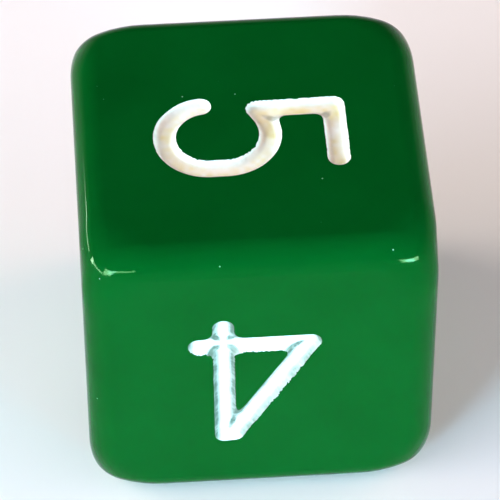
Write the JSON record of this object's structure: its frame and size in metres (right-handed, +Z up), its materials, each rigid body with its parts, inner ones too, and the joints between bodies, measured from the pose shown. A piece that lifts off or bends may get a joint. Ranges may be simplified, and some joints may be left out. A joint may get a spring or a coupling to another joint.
{
  "type": "numbered six-sided die",
  "caption": "Small rounded cube for games of chance, with an ink-lined numeral sunk in each face to show the number rolled.",
  "frame": {"origin": "centre of the face the die rests on, which carries the 2", "axes": "+Z up through the face with the 5, -Y out of the face with the 4, +X out of the face with the 1"},
  "size_m": [0.016, 0.016, 0.016],
  "materials": {
    "body": "opaque green moulded plastic, polished",
    "ink": "opaque white marking ink, satin"
  },
  "bodies": {
    "root": {"body": "body", "ink_1": "ink", "ink_2": "ink", "ink_3": "ink", "ink_4": "ink", "ink_5": "ink", "ink_6": "ink"}
  },
  "joints": []
}
